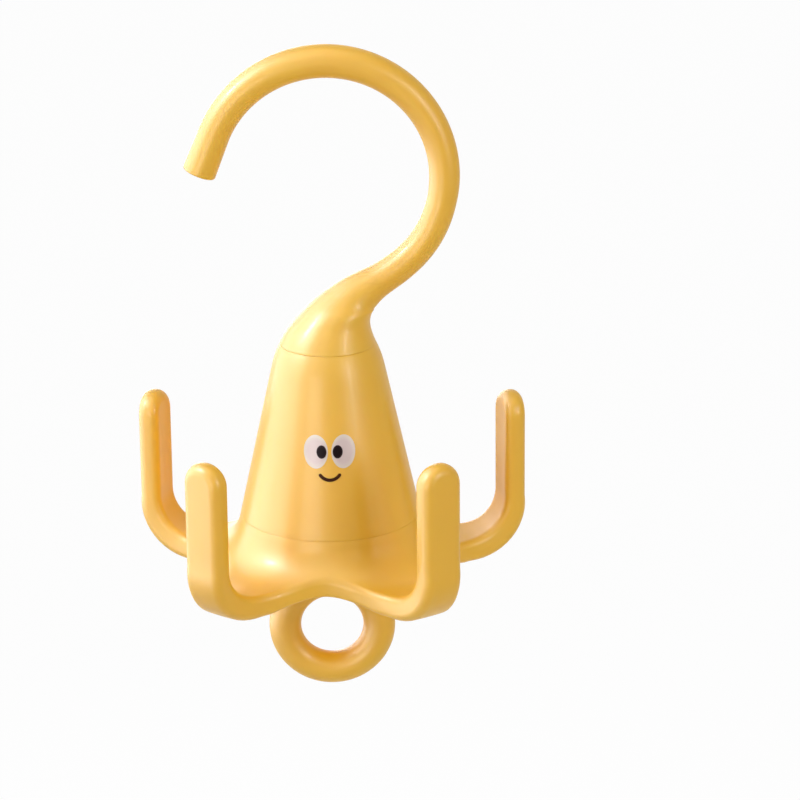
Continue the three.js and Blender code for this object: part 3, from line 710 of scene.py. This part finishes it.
def oval_mesh(middle, centre_z, width, height, lift, ink):
    """An oval layer of ink on the cone, its top face first and its foot last."""
    def oval(share, off):
        return [on_cone(middle + width / 2 * share * math.cos(turn),
                        centre_z + height / 2 * share * math.sin(turn), off) for turn in turns(OVAL_SIDES)]

    top = [oval(i / OVAL_RINGS, lift + ink) for i in range(1, OVAL_RINGS + 1)]
    return closed_skin(top + [oval(1, lift)])


def smile_mesh():
    """An arc of ink with round ends."""
    s = settings("face")
    half = s.smile_width / 2
    arc = (half ** 2 + s.smile_sag ** 2) / (2 * s.smile_sag)
    stroke = s.smile_stroke / 2
    reach = math.asin(half / arc)
    end_turn = stroke / arc
    centre_z = s.smile_z + arc - s.smile_sag
    rows = []
    for i in range(-SMILE_STEPS, SMILE_STEPS + 1):
        turn = (reach + end_turn) * math.sin(math.pi / 2 * i / SMILE_STEPS)
        over = max(0, (abs(turn) - reach) / end_turn)
        thick = max(stroke * math.sqrt(max(0, 1 - over ** 2)), stroke * SMILE_END_SHARE)
        corners = ((-thick, s.gap), (thick, s.gap), (thick, s.gap + s.ink), (-thick, s.gap + s.ink))
        rows.append([on_cone((arc + away) * math.sin(turn), centre_z - (arc + away) * math.cos(turn), lift)
                     for away, lift in corners])
    return closed_skin(rows)


# Shader groups

# Each noise's repeats to the metre, detail, roughness and stretch
FLOW_MARKS = (55, 3, 0.5, (1, 1, 0.35))
RUB_MARKS = (420, 5, 0.62, (1, 1, 0.5))
ORANGE_PEEL = (1400, 2)
SLOW_WAVE = (160, 1)
TURNED_LINES = (90, 3, 0.6, (1, 1, 60))
TARNISH_SPOTS = (700, 4, 0.6)
INK_GRAIN = (2600, 2)

# The values between which each mark comes in
FLOW_RANGE = (0.35, 0.7)
RUB_RANGE = (0.5, 0.75)
TARNISH_RANGE = (0.48, 0.72)
RIM_RANGE = (0.62, 0.98)

WAVE_HEIGHT = 1.6
LINE_ROUGHNESS = 0.22
GRAIN_ROUGHNESS = 0.12
TARNISH_COLOUR = (0.16, 0.13, 0.1)
BUMP_DISTANCE = 0.00005

# A Mix node's two colour inputs and its colour output, which share their names with the plain ones
MIX_FIRST, MIX_SECOND, MIX_RESULT = 6, 7, 2


def new_group(name, **inputs):
    """A shader group with the given inputs, which puts out a colour, a roughness and a height."""
    group = bpy.data.node_groups.new(name, "ShaderNodeTree")
    for label, default in inputs.items():
        number = isinstance(default, (int, float))
        kind = "NodeSocketFloat" if number else "NodeSocketColor"
        socket = group.interface.new_socket(label.replace("_", " "), in_out="INPUT", socket_type=kind)
        socket.default_value = default if number else (*default, 1)
    for label, kind in (("Colour", "NodeSocketColor"), ("Roughness", "NodeSocketFloat"),
                        ("Height", "NodeSocketFloat")):
        group.interface.new_socket(label, in_out="OUTPUT", socket_type=kind)
    return group, group.nodes.new("NodeGroupInput").outputs


def put_out(group, **values):
    """Sends each value to the output of its name, and returns the group."""
    made = group.nodes.new("NodeGroupOutput")
    for label, value in values.items():
        group.links.new(value, made.inputs[label])
    return group


def noise(tree, vector, scale, detail, roughness=0.5, stretch=None):
    """Noise over the place that the vector gives, if need be stretched along its axes."""
    if stretch:
        mapping = tree.nodes.new("ShaderNodeMapping")
        mapping.inputs["Scale"].default_value = stretch
        tree.links.new(vector, mapping.inputs["Vector"])
        vector = mapping.outputs["Vector"]
    node = tree.nodes.new("ShaderNodeTexNoise")
    node.inputs["Scale"].default_value = scale
    node.inputs["Detail"].default_value = detail
    node.inputs["Roughness"].default_value = roughness
    tree.links.new(vector, node.inputs["Vector"])
    return node.outputs["Fac"]


def ranged(tree, value, low, high):
    """0 to 1 as a value goes from low to high, with a soft start and end."""
    node = tree.nodes.new("ShaderNodeMapRange")
    node.interpolation_type = "SMOOTHSTEP"
    node.inputs["From Min"].default_value = low
    node.inputs["From Max"].default_value = high
    tree.links.new(value, node.inputs["Value"])
    return node.outputs["Result"]


def mixed(tree, share, first, second):
    """The first colour, and more of the second as the share grows."""
    node = tree.nodes.new("ShaderNodeMix")
    node.data_type = "RGBA"
    tree.links.new(share, node.inputs["Factor"])
    for socket, value in ((node.inputs[MIX_FIRST], first), (node.inputs[MIX_SECOND], second)):
        if isinstance(value, bpy.types.NodeSocket):
            tree.links.new(value, socket)
        else:
            socket.default_value = (*value, 1)
    return node.outputs[MIX_RESULT]


def calculated(tree, operation, *values):
    """The result of one sum on sockets or plain numbers."""
    node = tree.nodes.new("ShaderNodeMath")
    node.operation = operation
    for socket, value in zip(node.inputs, values):
        if isinstance(value, (int, float)):
            socket.default_value = value
        else:
            tree.links.new(value, socket)
    return node.outputs["Value"]


def moulding_group():
    """Flow marks, rub marks and a faint orange peel for moulded plastic."""
    group, given = new_group("Moulded surface", Colour=(0.8, 0.8, 0.8), Flow_colour=(0.7, 0.7, 0.7),
                             Roughness=0.3, Rub=0.06, Peel=1.0)
    place = group.nodes.new("ShaderNodeTexCoord").outputs["Object"]
    flow = ranged(group, noise(group, place, *FLOW_MARKS), *FLOW_RANGE)
    rubs = ranged(group, noise(group, place, *RUB_MARKS), *RUB_RANGE)
    peel = calculated(group, "MULTIPLY", noise(group, place, *ORANGE_PEEL), given["Peel"])
    wave = noise(group, place, *SLOW_WAVE)
    return put_out(group, Colour=mixed(group, flow, given["Colour"], given["Flow colour"]),
                   Roughness=calculated(group, "MULTIPLY_ADD", rubs, given["Rub"], given["Roughness"]),
                   Height=calculated(group, "MULTIPLY_ADD", wave, WAVE_HEIGHT, peel))


def metal_group():
    """Fine turned lines and dull spots for small metal hardware."""
    group, given = new_group("Machined surface", Colour=(0.6, 0.6, 0.6), Roughness=0.25, Tarnish=0.3)
    place = group.nodes.new("ShaderNodeTexCoord").outputs["Object"]
    lines = noise(group, place, *TURNED_LINES)
    spots = ranged(group, noise(group, place, *TARNISH_SPOTS), *TARNISH_RANGE)
    dull = calculated(group, "MULTIPLY", spots, given["Tarnish"])
    return put_out(group, Colour=mixed(group, dull, given["Colour"], TARNISH_COLOUR),
                   Roughness=calculated(group, "MULTIPLY_ADD", lines, LINE_ROUGHNESS, given["Roughness"]),
                   Height=lines)


def ink_group():
    """A printed layer that changes colour towards its rim, with a faint grain."""
    group, given = new_group("Printed ink", Colour=(0.8, 0.8, 0.8), Rim_colour=(0.9, 0.9, 0.9),
                             Roughness=0.3)
    coordinates = group.nodes.new("ShaderNodeTexCoord")
    # Turns 0 to 1 across the print into -1 to 1, with 0 in its middle
    centred = group.nodes.new("ShaderNodeMapping")
    centred.inputs["Location"].default_value = (-1, 0, -1)
    centred.inputs["Scale"].default_value = (2, 0, 2)
    group.links.new(coordinates.outputs["Generated"], centred.inputs["Vector"])
    distance = group.nodes.new("ShaderNodeVectorMath")
    distance.operation = "LENGTH"
    group.links.new(centred.outputs["Vector"], distance.inputs[0])
    rim = ranged(group, distance.outputs["Value"], *RIM_RANGE)
    grain = noise(group, coordinates.outputs["Object"], *INK_GRAIN)
    return put_out(group, Colour=mixed(group, rim, given["Colour"], given["Rim colour"]),
                   Roughness=calculated(group, "MULTIPLY_ADD", grain, GRAIN_ROUGHNESS, given["Roughness"]),
                   Height=grain)


# Materials


def new_material(name, group, surface, plain, bump):
    """A material with its colour, roughness and bumps from a shader group and the rest plain."""
    material = bpy.data.materials.new(name)
    material.use_nodes = True
    tree = material.node_tree
    shader = tree.nodes["Principled BSDF"]
    detail = tree.nodes.new("ShaderNodeGroup")
    detail.node_tree = group
    for socket, value in surface.items():
        detail.inputs[socket].default_value = (*value, 1) if hasattr(value, "__len__") else value
    for socket, value in plain.items():
        shader.inputs[socket].default_value = value
    raised = tree.nodes.new("ShaderNodeBump")
    raised.inputs["Strength"].default_value = bump
    raised.inputs["Distance"].default_value = BUMP_DISTANCE
    tree.links.new(detail.outputs["Colour"], shader.inputs["Base Color"])
    tree.links.new(detail.outputs["Roughness"], shader.inputs["Roughness"])
    tree.links.new(detail.outputs["Height"], raised.inputs["Height"])
    tree.links.new(raised.outputs["Normal"], shader.inputs["Normal"])


def make_materials():
    f = settings("finishes")
    plastic, metal, ink = moulding_group(), metal_group(), ink_group()
    new_material("Moulded yellow", plastic,
                 {"Colour": f.yellow, "Flow colour": f.deep_yellow, "Roughness": f.satin,
                  "Rub": 0.07, "Peel": 0.5},
                 {"Specular IOR Level": 0.7, "Coat Weight": f.shine, "Coat Roughness": 0.16,
                  "Subsurface Weight": 0.12, "Subsurface Radius": (1, 0.5, 0.12),
                  "Subsurface Scale": 0.002}, bump=0.08)
    new_material("Natural nylon", plastic,
                 {"Colour": f.nylon, "Flow colour": (0.76, 0.73, 0.64), "Roughness": 0.45,
                  "Rub": 0.1, "Peel": 1}, {}, bump=0.3)
    new_material("Turned brass", metal, {"Colour": f.brass, "Roughness": 0.2, "Tarnish": 0.35},
                 {"Metallic": 1}, bump=0.3)
    new_material("Zinc steel", metal, {"Colour": f.steel, "Roughness": 0.18, "Tarnish": 0.25},
                 {"Metallic": 1}, bump=0.25)
    new_material("Eye print", ink, {"Colour": f.eye, "Rim colour": f.eye_rim, "Roughness": 0.3},
                 {"Coat Weight": 0.2, "Coat Roughness": 0.1}, bump=0.1)
    new_material("Pupil print", ink,
                 {"Colour": f.pupil, "Rim colour": (0.035, 0.018, 0.02), "Roughness": 0.24},
                 {"Specular IOR Level": 0.06}, bump=0.1)
    new_material("Smile print", ink,
                 {"Colour": f.smile, "Rim colour": (0.07, 0.02, 0.004), "Roughness": 0.35},
                 {"Specular IOR Level": 0.06}, bump=0.1)


MATERIAL_NAMES = {"shell": "Moulded yellow", "nylon": "Natural nylon", "brass": "Turned brass",
                  "steel": "Zinc steel", "eye_white": "Eye print", "pupil": "Pupil print",
                  "smile": "Smile print"}


def material_of(slot):
    """The material of a slot of the record, with all of them made at the first call."""
    if MATERIAL_NAMES["shell"] not in bpy.data.materials:
        make_materials()
    return bpy.data.materials[MATERIAL_NAMES[slot]]


# Stage

WHITE = (1, 1, 1, 1)
FLOOR_COLOUR = (0.86, 0.86, 0.86, 1)
FLOOR_WHITENESS = 0.97
FLOOR_REACH = 6
FLOOR_SQUARES = 8
OBJECT_MIDDLE = Vector((0, 0, -0.085))

PHOTO_SIDE = 800
CAMERA_DISTANCE = 0.8174
CAMERA_ELEVATION = math.radians(18.95)
CAMERA_ROLL = math.radians(-0.93)
CAMERA_AIM_Z = -0.0705
CAMERA_REACH = 30
SENSOR_WIDTH = 36
FOCAL_SHARE = 3514.8 / PHOTO_SIDE
SHIFT_SHARES = (71.71 / PHOTO_SIDE, -27.61 / PHOTO_SIDE)


def seen_as_white(tree):
    """1 for the rays by which the camera, gloss and glass see the background."""
    path = tree.nodes.new("ShaderNodeLightPath")
    seen = calculated(tree, "MAXIMUM", path.outputs["Is Camera Ray"], path.outputs["Is Glossy Ray"])
    return calculated(tree, "MAXIMUM", seen, path.outputs["Is Transmission Ray"])


def blended(tree, share, lit, white, output):
    """Puts out the lit shader, and the white one by the given share."""
    blend = tree.nodes.new("ShaderNodeMixShader")
    tree.links.new(share, blend.inputs["Fac"])
    tree.links.new(lit, blend.inputs[1])
    tree.links.new(white, blend.inputs[2])
    made = tree.nodes.new(output)
    tree.links.new(blend.outputs["Shader"], made.inputs["Surface"])


def floor_material():
    material = bpy.data.materials.new("Pale floor")
    material.use_nodes = True
    tree = material.node_tree
    tree.nodes.clear()
    matt = tree.nodes.new("ShaderNodeBsdfDiffuse")
    matt.inputs["Color"].default_value = FLOOR_COLOUR
    white = tree.nodes.new("ShaderNodeEmission")
    white.inputs["Color"].default_value = WHITE
    share = calculated(tree, "MULTIPLY", seen_as_white(tree), FLOOR_WHITENESS)
    blended(tree, share, matt.outputs["BSDF"], white.outputs["Emission"], "ShaderNodeOutputMaterial")
    return material


def build_floor():
    skin = bmesh.new()
    bmesh.ops.create_grid(skin, x_segments=FLOOR_SQUARES, y_segments=FLOOR_SQUARES, size=FLOOR_REACH)
    floor = mesh_object(skin, "floor", floor_material())
    floor.location.z = -settings("stage").drop


def lamp(name, turn, rise, reach, width, height, power, gloss_only=False):
    """An area lamp aimed at the object's middle, from a turn to the left of the front and a rise."""
    data = bpy.data.lights.new(name, "AREA")
    data.shape = "RECTANGLE"
    data.size = width
    data.size_y = height
    data.energy = power
    made = new_object(name, data)
    turn, rise = math.radians(turn), math.radians(rise)
    way = Vector((-math.sin(turn) * math.cos(rise), -math.cos(turn) * math.cos(rise), math.sin(rise)))
    made.location = OBJECT_MIDDLE + way * reach
    made.rotation_euler = (-way).to_track_quat("-Z", "Y").to_euler()
    made.visible_diffuse = not gloss_only


def build_lamps():
    s = settings("stage")
    # Turn and rise in degrees, then distance, width, height and power
    lamp("high_lamp", 75, 40, 1, 0.5, 0.55, s.high)
    lamp("front_lamp", 15, 40, 1, 0.5, 0.55, s.front)
    lamp("right_lamp", -45, 18, 1, 0.5, 0.55, s.right)
    lamp("back_lamp", 165, 5, 1, 0.5, 0.55, s.back)
    lamp("low_lamp", 60, -35, 1, 0.6, 0.6, s.low)
    lamp("gloss_wall", 97, 15, 0.9, 1.6, 1.7, s.wall, gloss_only=True)
    lamp("gloss_roof", 20, 75, 1, 0.8, 0.8, s.roof, gloss_only=True)
    lamp("gloss_panel", 25, 0, 1.1, 0.5, 0.5, s.panel, gloss_only=True)
    lamp("gloss_spot", 83, 38.2, 0.9, 0.15, 0.12, s.spot, gloss_only=True)
    lamp("gloss_strip", -44, 15.7, 0.83, 0.05, 0.34, s.strip, gloss_only=True)


def background(tree, strength):
    node = tree.nodes.new("ShaderNodeBackground")
    node.inputs["Color"].default_value = WHITE
    node.inputs["Strength"].default_value = strength
    return node.outputs["Background"]


def build_world():
    world = bpy.data.worlds.new("Studio")
    world.use_nodes = True
    bpy.context.scene.world = world
    tree = world.node_tree
    tree.nodes.clear()
    sky, white = background(tree, settings("stage").sky), background(tree, 1)
    blended(tree, seen_as_white(tree), sky, white, "ShaderNodeOutputWorld")


def build_camera():
    data = bpy.data.cameras.new("camera")
    data.sensor_fit = "HORIZONTAL"
    data.sensor_width = SENSOR_WIDTH
    data.lens = FOCAL_SHARE * SENSOR_WIDTH
    data.shift_x, data.shift_y = SHIFT_SHARES
    data.clip_end = CAMERA_REACH
    camera = new_object("camera", data)
    place = Matrix.Translation((0, -CAMERA_DISTANCE * math.cos(CAMERA_ELEVATION),
                                CAMERA_AIM_Z + CAMERA_DISTANCE * math.sin(CAMERA_ELEVATION)))
    look = Matrix.Rotation(math.pi / 2 - CAMERA_ELEVATION, 4, "X")
    camera.matrix_world = place @ look @ Matrix.Rotation(CAMERA_ROLL, 4, "Z")
    bpy.context.scene.camera = camera


# Operators


class CLOSETHOOK_OT_bar(bpy.types.Operator):
    """Builds the hook's bar with its flared cap"""
    bl_idname = "closet_hook.bar"
    bl_label = "Hook bar and cap"

    def execute(self, context):
        add_piece(hook_mesh(), "hook_bar", "hook", "shell", "upper_hook")
        return {"FINISHED"}


class CLOSETHOOK_OT_cone(bpy.types.Operator):
    """Builds the hollow cone with its deck and screw posts"""
    bl_idname = "closet_hook.cone"
    bl_label = "Cone"

    def execute(self, context):
        add_piece(cone_mesh(), "cone_moulding", "body", "shell", "cone_shell")
        return {"FINISHED"}


class CLOSETHOOK_OT_skirt(bpy.types.Operator):
    """Builds the skirt with its curled-up arms and hub"""
    bl_idname = "closet_hook.skirt"
    bl_label = "Skirt and arms"

    def execute(self, context):
        add_piece(skirt_mesh(), "skirt_moulding", "body", "shell", "arm_base")
        return {"FINISHED"}


class CLOSETHOOK_OT_ring(bpy.types.Operator):
    """Builds the ring with its collar and stem"""
    bl_idname = "closet_hook.ring"
    bl_label = "Ring"

    def execute(self, context):
        add_piece(ring_mesh(), "ring_moulding", "body", "shell", "bottom_ring")
        return {"FINISHED"}


class CLOSETHOOK_OT_face(bpy.types.Operator):
    """Builds the printed eyes, pupils and smile"""
    bl_idname = "closet_hook.face"
    bl_label = "Printed face"

    def execute(self, context):
        s = settings("face")
        for side, sign in (("left", -1), ("right", 1)):
            eye = oval_mesh(sign * s.eye_spacing / 2, s.eye_z, s.eye_width, s.eye_height, s.gap, s.ink)
            add_piece(eye, f"eye_print_{side}", "body", "eye_white", f"eye_white_{side}")
            pupil = oval_mesh(sign * s.pupil_spacing / 2, s.eye_z, s.pupil_width, s.pupil_height,
                              2 * s.gap + s.ink, s.ink)
            add_piece(pupil, f"pupil_print_{side}", "body", "pupil", f"pupil_{side}")
        add_piece(smile_mesh(), "smile_print", "body", "smile", "smile")
        return {"FINISHED"}


class CLOSETHOOK_OT_hardware(bpy.types.Operator):
    """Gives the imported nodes, such as the screws, washers, bush and insert, their finishes"""
    bl_idname = "closet_hook.hardware"
    bl_label = "Finishes"

    def execute(self, context):
        slots = {part["node"]: part["material_slot"] for part in frame["record"]["subparts"]}
        for name, node in frame["nodes"].items():
            if not node.material_slots:
                node.data.materials.append(None)
            for place in node.material_slots:
                place.material = material_of(slots[name])
        return {"FINISHED"}


class CLOSETHOOK_OT_stage(bpy.types.Operator):
    """Sets up the pale floor, the soft lamps and the camera"""
    bl_idname = "closet_hook.stage"
    bl_label = "Stage"

    def execute(self, context):
        build_floor()
        build_lamps()
        build_world()
        build_camera()
        context.scene.view_settings.view_transform = "Standard"
        return {"FINISHED"}


# Panel and registration


class CLOSETHOOK_PT_panel(bpy.types.Panel):
    """Lists the closet hook's pieces, sizes and finishes"""
    bl_idname = "CLOSETHOOK_PT_panel"
    bl_label = "Closet hook"
    bl_space_type = "VIEW_3D"
    bl_region_type = "UI"
    bl_category = "Closet hook"

    def draw(self, context):
        for part, sizes, operator in PARTS:
            box = self.layout.box()
            box.label(text=operator.bl_label)
            for name in sizes.__annotations__:
                box.prop(settings(part), name)
            box.operator(operator.bl_idname)


# Each part's name, its sizes or finishes and its operator, in the order in which they are built
PARTS = [
    ("bar", HookSizes, CLOSETHOOK_OT_bar),
    ("cone", ConeSizes, CLOSETHOOK_OT_cone),
    ("skirt", SkirtSizes, CLOSETHOOK_OT_skirt),
    ("ring", RingSizes, CLOSETHOOK_OT_ring),
    ("face", FaceSizes, CLOSETHOOK_OT_face),
    ("finishes", Finishes, CLOSETHOOK_OT_hardware),
    ("stage", StageSettings, CLOSETHOOK_OT_stage),
]


def register():
    for part, sizes, operator in PARTS:
        bpy.utils.register_class(sizes)
        setattr(bpy.types.Scene, f"closet_hook_{part}", PointerProperty(type=sizes))
        bpy.utils.register_class(operator)
    bpy.utils.register_class(CLOSETHOOK_PT_panel)


def unregister():
    bpy.utils.unregister_class(CLOSETHOOK_PT_panel)
    for part, sizes, operator in reversed(PARTS):
        bpy.utils.unregister_class(operator)
        delattr(bpy.types.Scene, f"closet_hook_{part}")
        bpy.utils.unregister_class(sizes)


def main():
    register()
    for *_, operator in PARTS:
        getattr(bpy.ops.closet_hook, operator.bl_idname.split(".")[1])()


if __name__ == "__main__":
    main()
